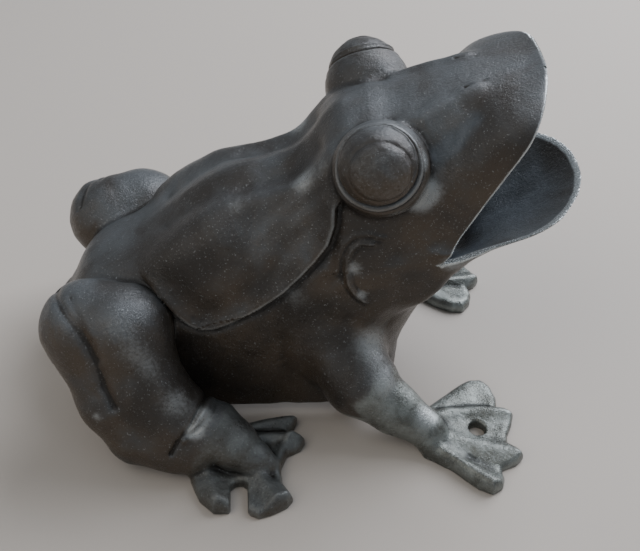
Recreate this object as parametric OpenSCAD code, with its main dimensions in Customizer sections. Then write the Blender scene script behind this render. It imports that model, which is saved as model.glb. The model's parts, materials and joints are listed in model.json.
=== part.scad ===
// Hollow cast-iron sitting frog with an open mouth, the target of a disc-tossing game.
// The real frog is a single casting. Its regions are separate solids that meet face to face.
// The frog looks along +X, its left side is +Y, and the table top is z = 0.

/* [Body] */
// Height of the middle of the rump bulge
rump_z = 30; // [27:0.5:34]
// Distance of the rump bulge behind the origin
rump_x = 60; // [55:0.5:64]
// Height of the highest line of the back over the origin
back_z = 73; // [69:0.5:78]
// Half width of the trunk at the side folds
trunk_half_w = 27.5; // [25:0.5:31]
// Height of the nape, between the eyes and the back
nape_z = 85; // [82:0.5:89]
// Thickness of the iron
wall = 3.6; // [2.8:0.1:4.6]
// Height of the open lower edge of the belly over the table
belly_gap = 4; // [3:0.5:7]

/* [Mouth] */
// Distance of the mouth corners ahead of the origin
corner_x = 33; // [30:0.5:36]
// Height of the mouth corners
corner_z = 57.5; // [54:0.5:60]
// Half width of the mouth
mouth_half_w = 28.5; // [25:0.5:31]
// Length of the upper lip line from the corners to the snout
upper_len = 55; // [50:0.5:60]
// Rise of the upper lip line over the horizontal, in degrees
upper_rise = 61; // [56:0.5:64]
// Length of the lower lip line from the corners to its tip
lower_len = 44; // [40:0.5:48]
// Rise of the lower lip line over the horizontal, in degrees
lower_rise = 18; // [12:0.5:22]
// Depth of the lower jaw's bowl below its lip line
bowl_depth = 8; // [6:0.5:11]

/* [Eyes] */
// Distance of the eye centres ahead of the origin
eye_x = 16; // [13:0.5:18]
// Distance of the eye centres from the middle plane
eye_y = 22; // [20:0.5:24]
// Height of the eye centres
eye_z = 83.5; // [80:0.5:86]
// Radius of the round eye bulge
eye_r = 12.6; // [12:0.1:14]
// Angle by which the eyes look up, in degrees
eye_tilt = 28; // [15:1:40]
// Radius of the raised eyelid ring
lid_r = 11.4; // [10.5:0.1:12]
// Radius of the eyeball that stands out of the ring
ball_r = 9.6; // [8.5:0.1:10]

/* [Ear discs] */
// Radius of the raised ear disc
ear_r = 8.5; // [7:0.5:10]
// Height by which the ear disc stands out of the cheek
ear_out = 1.2; // [0.8:0.1:2]

/* [Front legs] */
// Distance of the wrists ahead of the origin
wrist_x = 28; // [25:0.5:31]
// Distance of the wrists from the middle plane
wrist_y = 39; // [36:0.5:42]
// Radius of the leg at the wrist
wrist_r = 7; // [6:0.5:8]
// Radius of the leg at the shoulder
shoulder_r = 12; // [10:0.5:14]

/* [Front feet] */
// Length from the wrist to the toe tips
front_toe_len = 30; // [26:0.5:34]
// Length from the wrist to the edge of the web between the toes
front_web_len = 26; // [22:0.5:28]
// Angle between neighbouring front toes, in degrees
front_toe_step = 27.5; // [22:0.5:30]
// Distance from the wrist to the screw hole
front_hole_len = 17.5; // [14:0.5:20]
// Radius of the screw hole
screw_hole_r = 2.4; // [2:0.1:2.9]
// Thickness of the web
web_t = 3.4; // [2.8:0.1:4.5]
// Radius of the rounded back of a toe
toe_r = 2.6; // [2:0.1:3.2]

/* [Hind legs] */
// Distance of the ankles behind the origin
ankle_x = 31; // [28:0.5:34]
// Distance of the ankles from the middle plane
ankle_y = 43; // [41:0.5:46]
// Radius of the leg at the ankle
ankle_r = 9; // [8:0.5:10]
// Height of the top of the folded knee
knee_top_z = 49; // [45:0.5:53]
// Radius of the folded knee
knee_r = 13; // [11:0.5:14.5]
// Distance of the knee centre behind the origin
knee_x = 65; // [61:0.5:68]
// Distance of the knee centre from the middle plane
knee_y = 26; // [23:0.5:29]

/* [Hind feet] */
// Length from the ankle to the toe tips
hind_toe_len = 26; // [23:0.5:30]
// Width of the open screw notch
notch_w = 4.8; // [4:0.1:5.6]

/* [Hidden] */

LEFT = 1;
RIGHT = -1;
FACETS = 32;
BIG = 400;
DARK_IRON = [0.17, 0.15, 0.13];
BROWN_IRON = [0.21, 0.17, 0.14];
SLATE_IRON = [0.19, 0.21, 0.23];
WORN_IRON = [0.50, 0.53, 0.53];

// Puts the origin under the middle of the whole length
MIDDLE_X = (knee_x + knee_r - corner_x - lower_len * cos(lower_rise)) / 2;

// Stations along the trunk, from the rump to the nape.
// Each is [x, height of the middle, half length, half width, half height].
TRUNK = [
    [-rump_x, rump_z, 12, trunk_half_w - 5.5, 17],
    [-44, rump_z + 5, 16, trunk_half_w - 1.5, 21],
    [-26, back_z - 32, 18, trunk_half_w, 24],
    [-8, back_z - 26, 18, trunk_half_w, 26],
    [6, nape_z - 29, 16, trunk_half_w, 28]
];
// The same stations low down, where the flanks end above the table.
SKIRT = [
    [-rump_x + 6, 8, 12, trunk_half_w - 9, 9],
    [-42, 7, 14, trunk_half_w - 4, 10],
    [-26, 7, 16, trunk_half_w - 3, 10],
    [-8, 7, 16, trunk_half_w - 2, 10],
    [6, 8, 12, trunk_half_w - 4, 10]
];
// Stations of the head in the same form
SKULL = [16, nape_z - 11, 17, mouth_half_w, 16];
THROAT = [corner_x - 18, corner_z - 22, 14, mouth_half_w - 5, 14];
SNOUT = [corner_x + 14, corner_z + 39.5, 9, 15, 7];
// Bottom of the lower jaw's bowl: how far it lies ahead of the corners, and its half sizes
BOWL_AHEAD = 14;
BOWL_SIZE = [16, mouth_half_w - 16, 6];

UPPER_CAP = 12;
LOWER_CAP = lower_len / 2;
FOLD_X = 2;
FOLD_Z = back_z - 4;
FOLD_LOW_X = -33;
FOLD_LOW_Z = 38;
JAW_ROOT_X = corner_x - 12;
JAW_ROOT_Z = corner_z - 17;

LID_SEAT = 6;
LID_WIDTH = 2.6;
BALL_SEAT = 1.5;
PUPIL_SHARE = 0.55;
PUPIL_OUT = 0.7;
EAR = [13, 22, 56];
EAR_TILT = 8;
EAR_DEPTH = 8;

// Radius of a toe's root over the radius of its tip
ROOT_SHARE = 1.3;
WRIST_Z = wrist_r - 0.5;
SHOULDER = [4, trunk_half_w - 3, 24];
FRONT_TOES = 4;
FRONT_TURN = -3;
ANKLE_Z = ankle_r + 1;
ANKLE = [-ankle_x, ankle_y, ANKLE_Z];
ANKLE_ROOT = [-2, -14, 2];
KNEE = [-knee_x, knee_y, knee_top_z - knee_r];
KNEE_TOP = [14, 4, 0];
THIGH_LOW_R = 7;
THIGH_TOP = [-2, 2, -3];
THIGH_BEND = [5, 10, 2];
THIGH_BACK = 8;
HIND_TURN = 35;
HIND_TOE_ANGLES = [-32, -14, 38, 62];
NOTCH = [7, 14.5];
HIND_WEB_LEN = 20;
OUTER_TOE_SHORT = 3;

// An ellipsoid at a station, made smaller by the amount in
module lump(s, in = 0) {
    translate([s[0], 0, s[1]])
        scale([s[2] - in, s[3] - in, s[4] - in])
            sphere(r = 1, $fn = FACETS);
}

module span(i, in) {
    hull() {
        lump(TRUNK[i], in);
        lump(TRUNK[i + 1], in);
        lump(SKIRT[i], in);
        lump(SKIRT[i + 1], in);
    }
}

// The lip's outline: two straight sides that end in half an ellipse
function lip_points(len, half_w, cap) = concat(
    [for (a = [-90:10:90]) [len - cap + cap * cos(a), half_w * sin(a)]],
    [[0, half_w], [0, -half_w]]
);

module upper_lip(in, t) {
    translate([corner_x, 0, corner_z])
        rotate([0, -upper_rise, 0])
            translate([0, 0, -t / 2])
                linear_extrude(t)
                    polygon(lip_points(upper_len - in, mouth_half_w - in, UPPER_CAP - in / 2));
}

module lower_lip(in, t) {
    translate([corner_x, 0, corner_z])
        rotate([0, -lower_rise, 0])
            translate([0, 0, -t / 2])
                linear_extrude(t)
                    polygon(lip_points(lower_len - in, mouth_half_w - in, LOWER_CAP - in / 2));
}

// The whole of trunk and head as one outer form, or its hollow where in is the wall
module form(in = 0) {
    for (i = [0:len(TRUNK) - 2]) span(i, in);
    hull() {
        lump(TRUNK[4], in);
        lump(SKIRT[4], in);
        lump(THROAT, in);
        lump(SKULL, in);
    }
    hull() {
        lump(SKULL, in);
        lump(SNOUT, in);
        upper_lip(in * 0.8, 1);
    }
    hull() {
        lump(THROAT, in);
        lower_lip(in * 0.8, 1);
        translate([corner_x + BOWL_AHEAD, 0, corner_z + 8 - bowl_depth])
            scale(BOWL_SIZE)
                sphere(r = 1 - in / 10, $fn = FACETS);
    }
    hull() {
        lump(THROAT, in);
        lump(SKULL, in);
    }
}

// A prism across the frog over an outline in the X and Z plane
module slab_xz(points) {
    rotate([90, 0, 0])
        linear_extrude(BIG, center = true)
            polygon(points);
}

// The open space between the two lip lines
module gape() {
    slab_xz([
        [corner_x, corner_z],
        [corner_x + BIG * cos(lower_rise), corner_z + BIG * sin(lower_rise)],
        [corner_x + BIG * cos(upper_rise), corner_z + BIG * sin(upper_rise)]
    ]);
}

module shell() {
    difference() {
        form();
        form(wall);
        gape();
        translate([0, 0, belly_gap - BIG / 2]) cube(BIG, center = true);
    }
}

// Outlines that split the shell into its regions
GAPE_MIDDLE = (upper_rise + lower_rise) / 2;
GAPE_FAR = [corner_x + BIG * cos(GAPE_MIDDLE), corner_z + BIG * sin(GAPE_MIDDLE)];
BACK_LINE = [[FOLD_X, FOLD_Z], [FOLD_LOW_X, FOLD_LOW_Z], [-BIG, FOLD_LOW_Z - 4]];
BACK_REGION = concat(BACK_LINE, [[-BIG, BIG], [FOLD_X, BIG]]);
BELLY_REGION = concat(BACK_LINE, [[-BIG, -BIG], [FOLD_X, -BIG]]);
HEAD_REGION = [[FOLD_X, corner_z], [corner_x, corner_z], GAPE_FAR, [FOLD_X, BIG]];
JAW_REGION = [
    [JAW_ROOT_X, JAW_ROOT_Z],
    [BIG, JAW_ROOT_Z],
    GAPE_FAR,
    [corner_x, corner_z],
    [JAW_ROOT_X, corner_z]
];
CHEST_REGION = [
    [FOLD_X, -BIG],
    [BIG, -BIG],
    [BIG, JAW_ROOT_Z],
    [JAW_ROOT_X, JAW_ROOT_Z],
    [JAW_ROOT_X, corner_z],
    [FOLD_X, corner_z]
];

module region(points) {
    translate([MIDDLE_X, 0, 0]) intersection() {
        shell();
        slab_xz(points);
    }
}

module back_shell() {
    color(DARK_IRON) region(BACK_REGION);
}

module belly_shell() {
    color(BROWN_IRON) region(BELLY_REGION);
}

module chest_shell() {
    color(BROWN_IRON) region(CHEST_REGION);
}

module upper_jaw() {
    color(BROWN_IRON) region(HEAD_REGION);
}

module lower_jaw() {
    color(SLATE_IRON) region(JAW_REGION);
}

// Puts a left-hand piece on its own side of the middle plane
module sided(side) {
    mirror([0, side == RIGHT ? 1 : 0, 0]) translate([MIDDLE_X, 0, 0]) children();
}

// Turns +Z to the way that the left eye looks, from the eye's centre
module eye_frame() {
    translate([eye_x, eye_y, eye_z])
        rotate([-90 + eye_tilt, 0, 0])
            children();
}

module eyelid(side) {
    color(BROWN_IRON) sided(side) difference() {
        eye_frame() difference() {
            union() {
                sphere(r = eye_r, $fn = FACETS);
                cylinder(r = lid_r - LID_WIDTH / 2, h = LID_SEAT, $fn = FACETS);
                translate([0, 0, LID_SEAT])
                    rotate_extrude($fn = FACETS)
                        translate([lid_r - LID_WIDTH / 2, 0])
                            circle(d = LID_WIDTH, $fn = 16);
            }
            cylinder(r = ball_r, h = BIG, $fn = FACETS);
        }
        form();
    }
}

module eye(side) {
    color(DARK_IRON) sided(side) difference() {
        eye_frame() union() {
            intersection() {
                cylinder(r = ball_r, h = 2 * eye_r, $fn = FACETS);
                translate([0, 0, BALL_SEAT]) sphere(r = eye_r, $fn = FACETS);
            }
            intersection() {
                cylinder(r = ball_r * PUPIL_SHARE, h = 2 * eye_r, $fn = FACETS);
                translate([0, 0, BALL_SEAT + PUPIL_OUT]) sphere(r = eye_r, $fn = FACETS);
            }
        }
        form();
    }
}

module ear_disc(side) {
    color(BROWN_IRON) sided(side) difference() {
        translate(EAR) rotate([-90 + EAR_TILT, 0, 0]) cylinder(r = ear_r, h = ear_out + EAR_DEPTH);
        form();
        leg_form();
    }
}

// Front leg, up to the flat face in which the foot begins
module leg_form() {
    hull() {
        translate(SHOULDER) scale([1, 0.8, 1.1]) sphere(r = shoulder_r, $fn = FACETS);
        wrist_ball();
    }
}

module wrist_ball() {
    translate([wrist_x, wrist_y, WRIST_Z]) sphere(r = wrist_r, $fn = FACETS);
}

module floor_cut() {
    translate([0, 0, -BIG / 2]) cube(BIG, center = true);
}

// Half space ahead of an upright plane through a point, turned about +Z
module ahead(x, y, turn) {
    translate([x, y, 0]) rotate([0, 0, turn])
        translate([0, -BIG / 2, -BIG / 2]) cube(BIG);
}

module front_leg(side) {
    color(DARK_IRON) sided(side) difference() {
        leg_form();
        form();
        ahead(wrist_x, wrist_y, FRONT_TURN);
        floor_cut();
    }
}

// A toe as a rounded ridge from the joint to its tip
module toe(angle, len, root_r, tip_r) {
    hull() {
        translate([0, 0, root_r * 0.7]) sphere(r = root_r, $fn = 24);
        rotate([0, 0, angle]) translate([len - tip_r, 0, tip_r * 0.9]) sphere(r = tip_r, $fn = 24);
    }
}

// Web outline: the toe tips and the hollows between them, about the joint
function toe_angle(i) = (i - (FRONT_TOES - 1) / 2) * front_toe_step;
function polar(a, r) = [r * cos(a), r * sin(a)];

module front_foot(side) {
    root = [[0, -wrist_r * 0.8], [0, wrist_r * 0.8]];
    fan = [for (i = [FRONT_TOES - 1:-0.5:0])
        polar(toe_angle(i), i == floor(i) ? front_toe_len - 1 : front_web_len)];
    color(WORN_IRON) sided(side) difference() {
        translate([wrist_x, wrist_y, 0]) rotate([0, 0, FRONT_TURN]) union() {
            linear_extrude(web_t) polygon(concat(root, fan));
            for (i = [0:FRONT_TOES - 1])
                toe(toe_angle(i), front_toe_len, toe_r * ROOT_SHARE, toe_r);
            translate([0, 0, WRIST_Z]) sphere(r = wrist_r);
        }
        difference() {
            translate([0, 0, -1]) cube(BIG * 2, center = true);
            ahead(wrist_x, wrist_y, FRONT_TURN);
        }
        floor_cut();
        translate([wrist_x, wrist_y, -1]) rotate([0, 0, FRONT_TURN]) translate([front_hole_len, 0, 0])
            cylinder(r = screw_hole_r, h = BIG / 10);
    }
}

// The folded hind leg's upper lobe: the knee, its top ahead of the knee, the ankle and the ankle's root
module shin_form() {
    hull() {
        translate(KNEE) sphere(r = knee_r, $fn = FACETS);
        translate(KNEE + KNEE_TOP) sphere(r = knee_r, $fn = FACETS);
        translate(ANKLE) sphere(r = ankle_r, $fn = FACETS);
        translate(ANKLE + ANKLE_ROOT) sphere(r = ankle_r, $fn = FACETS);
    }
}

module shin(side) {
    color(DARK_IRON) sided(side) difference() {
        shin_form();
        form();
        ahead(-ankle_x, ankle_y, HIND_TURN);
        floor_cut();
    }
}

module thigh(side) {
    color(DARK_IRON) sided(side) difference() {
        hull() {
            translate(KNEE + THIGH_TOP) sphere(r = knee_r - 2, $fn = FACETS);
            translate([KNEE[0], KNEE[1], THIGH_LOW_R] + THIGH_BEND) sphere(r = THIGH_LOW_R, $fn = FACETS);
            translate([ANKLE[0] - THIGH_BACK, ANKLE[1], THIGH_LOW_R]) sphere(r = THIGH_LOW_R, $fn = FACETS);
        }
        shin_form();
        form();
        ahead(-ankle_x, ankle_y, HIND_TURN);
        floor_cut();
    }
}

module hind_foot(side) {
    root = [polar(HIND_TURN - 90, ankle_r * 0.9), polar(HIND_TURN + 90, ankle_r + 3)];
    fan = [
        polar(96, hind_toe_len - 8),
        polar(80, hind_toe_len - 4.5),
        polar(HIND_TOE_ANGLES[3], hind_toe_len - OUTER_TOE_SHORT),
        polar(HIND_TOE_ANGLES[2], hind_toe_len),
        polar(12, HIND_WEB_LEN),
        polar(HIND_TOE_ANGLES[1], hind_toe_len),
        polar(-23, hind_toe_len - 3),
        polar(HIND_TOE_ANGLES[0], hind_toe_len)
    ];
    hind_toe_lens = [for (i = [0:3]) hind_toe_len - (i == 3 ? OUTER_TOE_SHORT : 0)];
    color(WORN_IRON) sided(side) difference() {
        translate([-ankle_x, ankle_y, 0]) union() {
            linear_extrude(web_t) polygon(concat(root, fan));
            for (i = [0:3])
                toe(HIND_TOE_ANGLES[i], hind_toe_lens[i], toe_r * ROOT_SHARE, toe_r);
            translate([0, 0, ANKLE_Z]) sphere(r = ankle_r);
        }
        difference() {
            translate([0, 0, -1]) cube(BIG * 2, center = true);
            ahead(-ankle_x, ankle_y, HIND_TURN);
        }
        for (i = [2:3]) span(i, 0);
        floor_cut();
        translate([-ankle_x + NOTCH[0], ankle_y + NOTCH[1], -1]) union() {
            cylinder(d = notch_w, h = BIG / 10);
            translate([-notch_w / 2, 0, 0]) cube([notch_w, BIG / 10, BIG / 10]);
        }
    }
}

back_shell();
belly_shell();
chest_shell();
upper_jaw();
lower_jaw();
eye(LEFT);  // left_eye
eye(RIGHT);  // right_eye
eyelid(LEFT);  // left_eyelid
eyelid(RIGHT);  // right_eyelid
ear_disc(LEFT);  // left_ear_disc
ear_disc(RIGHT);  // right_ear_disc
front_leg(LEFT);  // left_front_leg
front_leg(RIGHT);  // right_front_leg
front_foot(LEFT);  // left_front_foot
front_foot(RIGHT);  // right_front_foot
thigh(LEFT);  // left_thigh
thigh(RIGHT);  // right_thigh
shin(LEFT);  // left_shin
shin(RIGHT);  // right_shin
hind_foot(LEFT);  // left_hind_foot
hind_foot(RIGHT);  // right_hind_foot
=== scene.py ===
"""Cast iron game frog: a hollow sitting frog with an open mouth, worn bare at its lips and feet."""

import json
import math

import bpy
import numpy as np
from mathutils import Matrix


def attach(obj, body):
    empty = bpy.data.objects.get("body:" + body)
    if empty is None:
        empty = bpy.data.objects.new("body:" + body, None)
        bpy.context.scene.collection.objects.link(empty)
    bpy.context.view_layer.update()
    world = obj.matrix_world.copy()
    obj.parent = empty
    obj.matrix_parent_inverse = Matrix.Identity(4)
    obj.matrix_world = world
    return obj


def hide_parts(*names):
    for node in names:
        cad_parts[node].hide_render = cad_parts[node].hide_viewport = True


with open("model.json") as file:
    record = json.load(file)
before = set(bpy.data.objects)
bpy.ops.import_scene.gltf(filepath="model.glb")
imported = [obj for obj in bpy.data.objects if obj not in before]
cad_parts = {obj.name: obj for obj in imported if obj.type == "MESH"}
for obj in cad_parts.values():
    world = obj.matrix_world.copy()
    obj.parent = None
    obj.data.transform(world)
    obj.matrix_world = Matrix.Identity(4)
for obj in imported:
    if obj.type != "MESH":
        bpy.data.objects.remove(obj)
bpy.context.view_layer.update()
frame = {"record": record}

bl_info = {
    "name": "Cast Iron Game Frog",
    "version": (1, 0, 0),
    "blender": (4, 5, 0),
    "location": "View3D > Sidebar > Frog",
    "description": "Builds a hollow cast iron frog with an open mouth, region by region",
    "category": "Add Mesh",
}

MM = 0.001
BODY = "root"
FAR = np.float32(40.0)

# The record's screw hole in the left front foot. The sculpted shapes below are in
# millimetres about the same point, with the frog's left side at positive y.
SCREW_HOLE = (45.48, 38.08)
hole_mount = next(m for m in frame["record"]["mounts"] if m["name"] == "front_screw_holes")
AHEAD = hole_mount["pos_m"][0] / MM - SCREW_HOLE[0]


# ---------------------------------------------------------------- curves and fields

def through(x, knots):
    """Cubic curve through (x, value) knots.

    Each knot's slope is the mean slope of its neighbours, and outside the knots it is flat.
    """
    kx, kv = np.array(knots, np.float32).T
    slope = np.gradient(kv, kx).astype(np.float32)
    x = np.clip(x, kx[0], kx[-1])
    i = np.clip(np.searchsorted(kx, x) - 1, 0, len(kx) - 2)
    step = kx[i + 1] - kx[i]
    t = (x - kx[i]) / step
    rest = 1 - t
    return (
        (1 + 2 * t) * rest * rest * kv[i]
        + t * rest * rest * step * slope[i]
        + t * t * (3 - 2 * t) * kv[i + 1]
        - t * t * rest * step * slope[i + 1]
    )


def ease(t):
    """Zero below 0, one above 1, and 3t2 - 2t3 between them."""
    t = np.clip(t, 0, 1)
    return t * t * (3 - 2 * t)


def join(a, b, k):
    """Union of two fields. Within k of each other their corner is filled by a parabola."""
    h = np.maximum(k - np.abs(a - b), 0)
    return np.minimum(a, b) - h * h / (4 * k)


def meet(a, b, k):
    """Common part of two fields, with the edge between them rounded over k."""
    return -join(-a, -b, k)


def close_to(p, low, high, shape, away=FAR):
    """A field worked out only within a box, and away outside it."""
    inside = np.ones(p[0].shape, bool)
    for c, lo, hi in zip(p, low, high):
        inside &= (c > lo) & (c < hi)
    out = np.full(p[0].shape, away, np.float32)
    if inside.any():
        out[inside] = shape(tuple(c[inside] for c in p))
    return out


def limb(p, joints, k=2.0):
    """A chain of tapered rods through (x, y, z, radius) joints.

    Each rod is the distance to its axis less a radius that runs evenly from one joint to the next.
    """
    low = [min(j[i] - j[3] for j in joints) - 8 for i in range(3)]
    high = [max(j[i] + j[3] for j in joints) + 8 for i in range(3)]

    def chain(q):
        out = None
        for a, b in zip(joints, joints[1:]):
            axis = [b[i] - a[i] for i in range(3)]
            length2 = sum(c * c for c in axis)
            t = sum((q[i] - a[i]) * axis[i] for i in range(3)) / length2
            t = np.clip(t, 0, 1)
            d = np.sqrt(sum((q[i] - a[i] - t * axis[i]) ** 2 for i in range(3)))
            rod = d - (a[3] + (b[3] - a[3]) * t)
            out = rod if out is None else join(out, rod, k)
        return out

    return close_to(p, low, high, chain)


def line_distance(q, path):
    """Distance to the nearest segment of a path, in as many dimensions as the path has."""
    best = None
    for a, b in zip(path, path[1:]):
        axis = [b[i] - a[i] for i in range(len(a))]
        length2 = sum(c * c for c in axis)
        t = np.clip(sum((q[i] - a[i]) * axis[i] for i in range(len(a))) / length2, 0, 1)
        d2 = sum((q[i] - a[i] - t * axis[i]) ** 2 for i in range(len(a)))
        best = d2 if best is None else np.minimum(best, d2)
    return np.sqrt(best)


def bell(distance, width):
    """One at distance 0 and falling away to both sides: exp(-(distance / width)2)."""
    return np.exp(-(distance / width) ** 2)


def ridge(p, path, height, width):
    """A raised line: height times the bell of the distance. A negative height cuts a groove."""
    reach = width * 2.6
    low = [min(v[i] for v in path) - reach for i in range(3)]
    high = [max(v[i] for v in path) + reach for i in range(3)]
    return close_to(p, low, high, lambda q: height * bell(line_distance(q, path), width), away=0)


def outline(x, y, points):
    """Signed distance to a closed outline: the nearest edge, negative where it is wound round."""
    nearest = np.full(x.shape, 1e9, np.float32)
    wound = np.zeros(x.shape, bool)
    for (ax, ay), (bx, by) in zip(points, points[1:] + points[:1]):
        ex, ey = bx - ax, by - ay
        t = np.clip(((x - ax) * ex + (y - ay) * ey) / (ex * ex + ey * ey), 0, 1)
        nearest = np.minimum(nearest, (x - ax - t * ex) ** 2 + (y - ay - t * ey) ** 2)
        crosses = (ay > y) != (by > y)
        at = ax + (y - ay) / (ey if ey else 1e-9) * ex
        wound ^= crosses & (x < at)
    return np.where(wound, -1, 1) * np.sqrt(nearest)


# ---------------------------------------------------------------- trunk and head

# Knots along the trunk, each (x, value)
BACK_LINE = [
    (-76, 33), (-70, 43), (-61, 47.5), (-52, 51), (-44, 57.3), (-35, 64.6), (-27, 69.7),
    (-20, 71.8), (-12, 73.6), (-5, 77), (0, 82.4), (5, 88.6), (14, 92),
]
HALF_WIDTH = [(-76, 12), (-66, 19), (-56, 22.5), (-44, 25.5), (-32, 27.2), (-8, 27.6), (14, 27)]
BACK_SQUARENESS = [(-70, 2.3), (-56, 2.7), (-44, 3.2), (-34, 2.8), (-18, 2.15)]
WAIST_LINE = [(-76, 26), (-56, 30), (-44, 33), (-32, 38), (-20, 42), (-8, 48), (4, 55), (14, 57)]
SIDE_SQUARENESS = 4
WAIST_BLEND = 16
SKIRT = 22
RUMP_FROM, RUMP_LENGTH = -59, 19.5
TRUNK_END = 16
# Knots up the chest, each (z, value)
CHEST_FRONT = [(0, 24.5), (18, 26), (30, 30.5), (40, 36), (50, 42.5), (58, 49)]
CHEST_HALF_WIDTH = [(0, 26), (30, 27.2), (48, 28), (58, 28.2)]
CHEST_SQUARENESS = [(0, 2.4), (30, 2.8), (48, 3.2), (58, 4.2)]
CHEST_MIDDLE, CHEST_REAR, CHEST_TOP = -2, -8, 2

MOUTH_CORNER = (33.0, 57.5)
UPPER_RISE = math.radians(61)
LOWER_RISE = math.radians(18)
LIP_HALF_WIDTH = 28.5
CROWN_AT_CORNER = 52.0
CROWN_FALL = 0.93
SNOUT_FROM, SNOUT_LENGTH = 38.0, 17.0
SKULL_REAR, SKULL_UNDER, SKULL_LOW = 4, -5, 40
JAW_FROM, JAW_LENGTH = 21.0, 23.0
JAW_DEPTH = [(-8, 26), (0, 19), (10, 13), (22, 10), (36, 9), (44, 8.5)]
JAW_TOP = 2.5
JAW_RIM = 1.5
JAW_FLOOR = 2.4
BELLY_EDGE = 4.0
# How far from their corner neighbouring shapes run together
CHEST_FILLET, SKULL_FILLET, JAW_FILLET, HOLLOW_FILLET = 4, 7, 5, 2.5

EYE_MIDDLE = (16.0, 22.0, 83.5)
EYE_RADIUS = 12.6
EYE_AXIS = (-0.18, 0.773, 0.608)
# Arcs from the eye's axis to the edge of the eyeball's seat, the lid, its groove and its fold
BALL_ARC, LID_ARC, GROOVE_ARC, FOLD_ARC = 12.3, 12.9, 14.0, 15.0

# Lines in the skin, on the frog's left side
SIDE_FOLD = [
    (3, 15.5, 82), (-4, 15.5, 77), (-12, 15, 71.8), (-22, 15, 68), (-29, 15, 65.2),
    (-37, 15.5, 59.5), (-45, 16, 53),
]
HIP = [(-28, 18.5, 61), (-37, 20, 57), (-44, 19, 52.5)]
SPINE = [
    (6, 0, 89), (0, 0, 82.4), (-5, 0, 77), (-12, 0, 73.6), (-20, 0, 71.8), (-27, 0, 69.7),
    (-35, 0, 64.6), (-44, 0, 57.3), (-55, 0, 49.5), (-66, 0, 44.5),
]
BACK_FURROW = [(0, 7.5, 81), (-8, 8, 74), (-20, 8, 70), (-30, 8, 66), (-42, 8, 57)]
CAPE_EDGE = [
    (8.5, 80), (4.5, 73.6), (4.2, 69.4), (2.4, 64), (-1.1, 58.6), (-4.3, 54.9), (-8.4, 50.4),
    (-12.6, 46.8), (-16.8, 43.3), (-21, 40.6), (-25.4, 38), (-29.8, 36), (-34, 35.8),
    (-37.6, 37.7), (-41, 41.5), (-43.5, 45), (-47, 48), (-54, 51),
]
CAPE_STEP = 1.7
FLANK_FOLDS = [
    [(2, 27, 55), (-3, 27, 49), (-7, 27, 42), (-10, 27, 35)],
    [(-5, 27, 51), (-10, 27, 44), (-15, 27, 36), (-19, 27, 28)],
]
PARTING_LINE = [(-14, 27, 20), (-10, 27, 23), (-2, 28, 30.5), (5, 28, 36), (9, 28, 38)]
EAR_RIM = [
    (13.8, 64.6), (10.6, 64.8), (8.2, 63), (7.0, 60), (6.8, 56), (7.6, 52), (9.2, 49), (12, 46),
]
EAR_OUTER = [(17, 65.8), (12.8, 67.2), (9.0, 66.6), (6, 63.8), (4.6, 60), (4.2, 55.5)]
EAR_MIDDLE = (13.5, 56.5)
EAR_RADIUS = 8.5
BROW_LINE = [(22, 14.5, 92.5), (27, 13.6, 94), (31, 12.4, 96), (36, 11, 98.3), (41, 9.5, 99.4)]
CHEEK_VALLEY = [(27, 22, 87), (31, 21, 87), (36, 19, 90), (41, 16.5, 93)]
NOSTRIL = [(38.5, 8.6, 98.6), (41, 8.2, 99.2), (44, 7.4, 99.6)]
# Each line with its height, below 0 for a groove, and its width
BACK_LINES = [(SPINE, 0.7, 3.2), (SIDE_FOLD, 1.3, 3.6), (HIP, 2.2, 5.0), (BACK_FURROW, -0.9, 3.2)]
SIDE_LINES = [
    (FLANK_FOLDS[0], 0.8, 2.4), (FLANK_FOLDS[1], 0.8, 2.4), (PARTING_LINE, 0.3, 0.6),
    (BROW_LINE, 1.4, 2.8), (CHEEK_VALLEY, -3.0, 6.4), (NOSTRIL, -0.9, 0.7),
]


def lip_frame(p, rise):
    """A point as (along the lip line from the mouth corner, across, up from the lip plane)."""
    dx, dz = p[0] - MOUTH_CORNER[0], p[2] - MOUTH_CORNER[1]
    return (
        dx * math.cos(rise) + dz * math.sin(rise),
        p[1],
        dz * math.cos(rise) - dx * math.sin(rise),
    )


def radial(parts, powers, away):
    """Distance out of a superellipse along the ray from its middle.

    parts are coordinates over half sizes; g = (sum of |part| to its power) to one over the
    first power, and the distance is away * (g - 1) / g with away the point's own radius.
    """
    g = sum(np.abs(c) ** n for c, n in zip(parts, powers))
    g = np.maximum(g, 1e-4) ** (1 / powers[0])
    return away * (g - 1) / g


def trunk(p):
    """Sections across x: half a superellipse over the waist line and squarer sides under it.

    The power eases from the back's own to the sides' over the waist, and a cap rounds off the rump.
    """
    x, y, z = p
    half = through(x, HALF_WIDTH)
    waist = through(x, WAIST_LINE)
    up = z - waist
    height = np.where(up > 0, through(x, BACK_LINE) - waist, waist + SKIRT)
    behind = np.maximum(RUMP_FROM - x, 0)
    share = ease(up / WAIST_BLEND + 0.5)
    power = SIDE_SQUARENESS + (through(x, BACK_SQUARENESS) - SIDE_SQUARENESS) * share
    reach = np.sqrt(y * y + up * up + behind ** 2)
    body = radial((y / half, up / height, behind / RUMP_LENGTH), (power, power, power), reach)
    return meet(body * np.where(up > 0, 0.85, 1.0), x - TRUNK_END, 6)


def chest(p):
    """Sections across z: a superellipse that gets squarer up to the mouth."""
    x, y, z = p
    front = through(z, CHEST_FRONT)
    half = through(z, CHEST_HALF_WIDTH)
    power = through(z, CHEST_SQUARENESS)
    ahead = np.maximum(x - CHEST_MIDDLE, 0)
    g = (np.abs(y / half) ** power + (ahead / (front - CHEST_MIDDLE)) ** power) ** (1 / power)
    g = np.maximum(g, 1e-3)
    body = np.sqrt(y * y + ahead * ahead) * (g - 1) / g
    over_lip = lip_frame(p, LOWER_RISE)[2]
    return meet(meet(body, CHEST_REAR - x, 4), over_lip - CHEST_TOP, 3)


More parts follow.
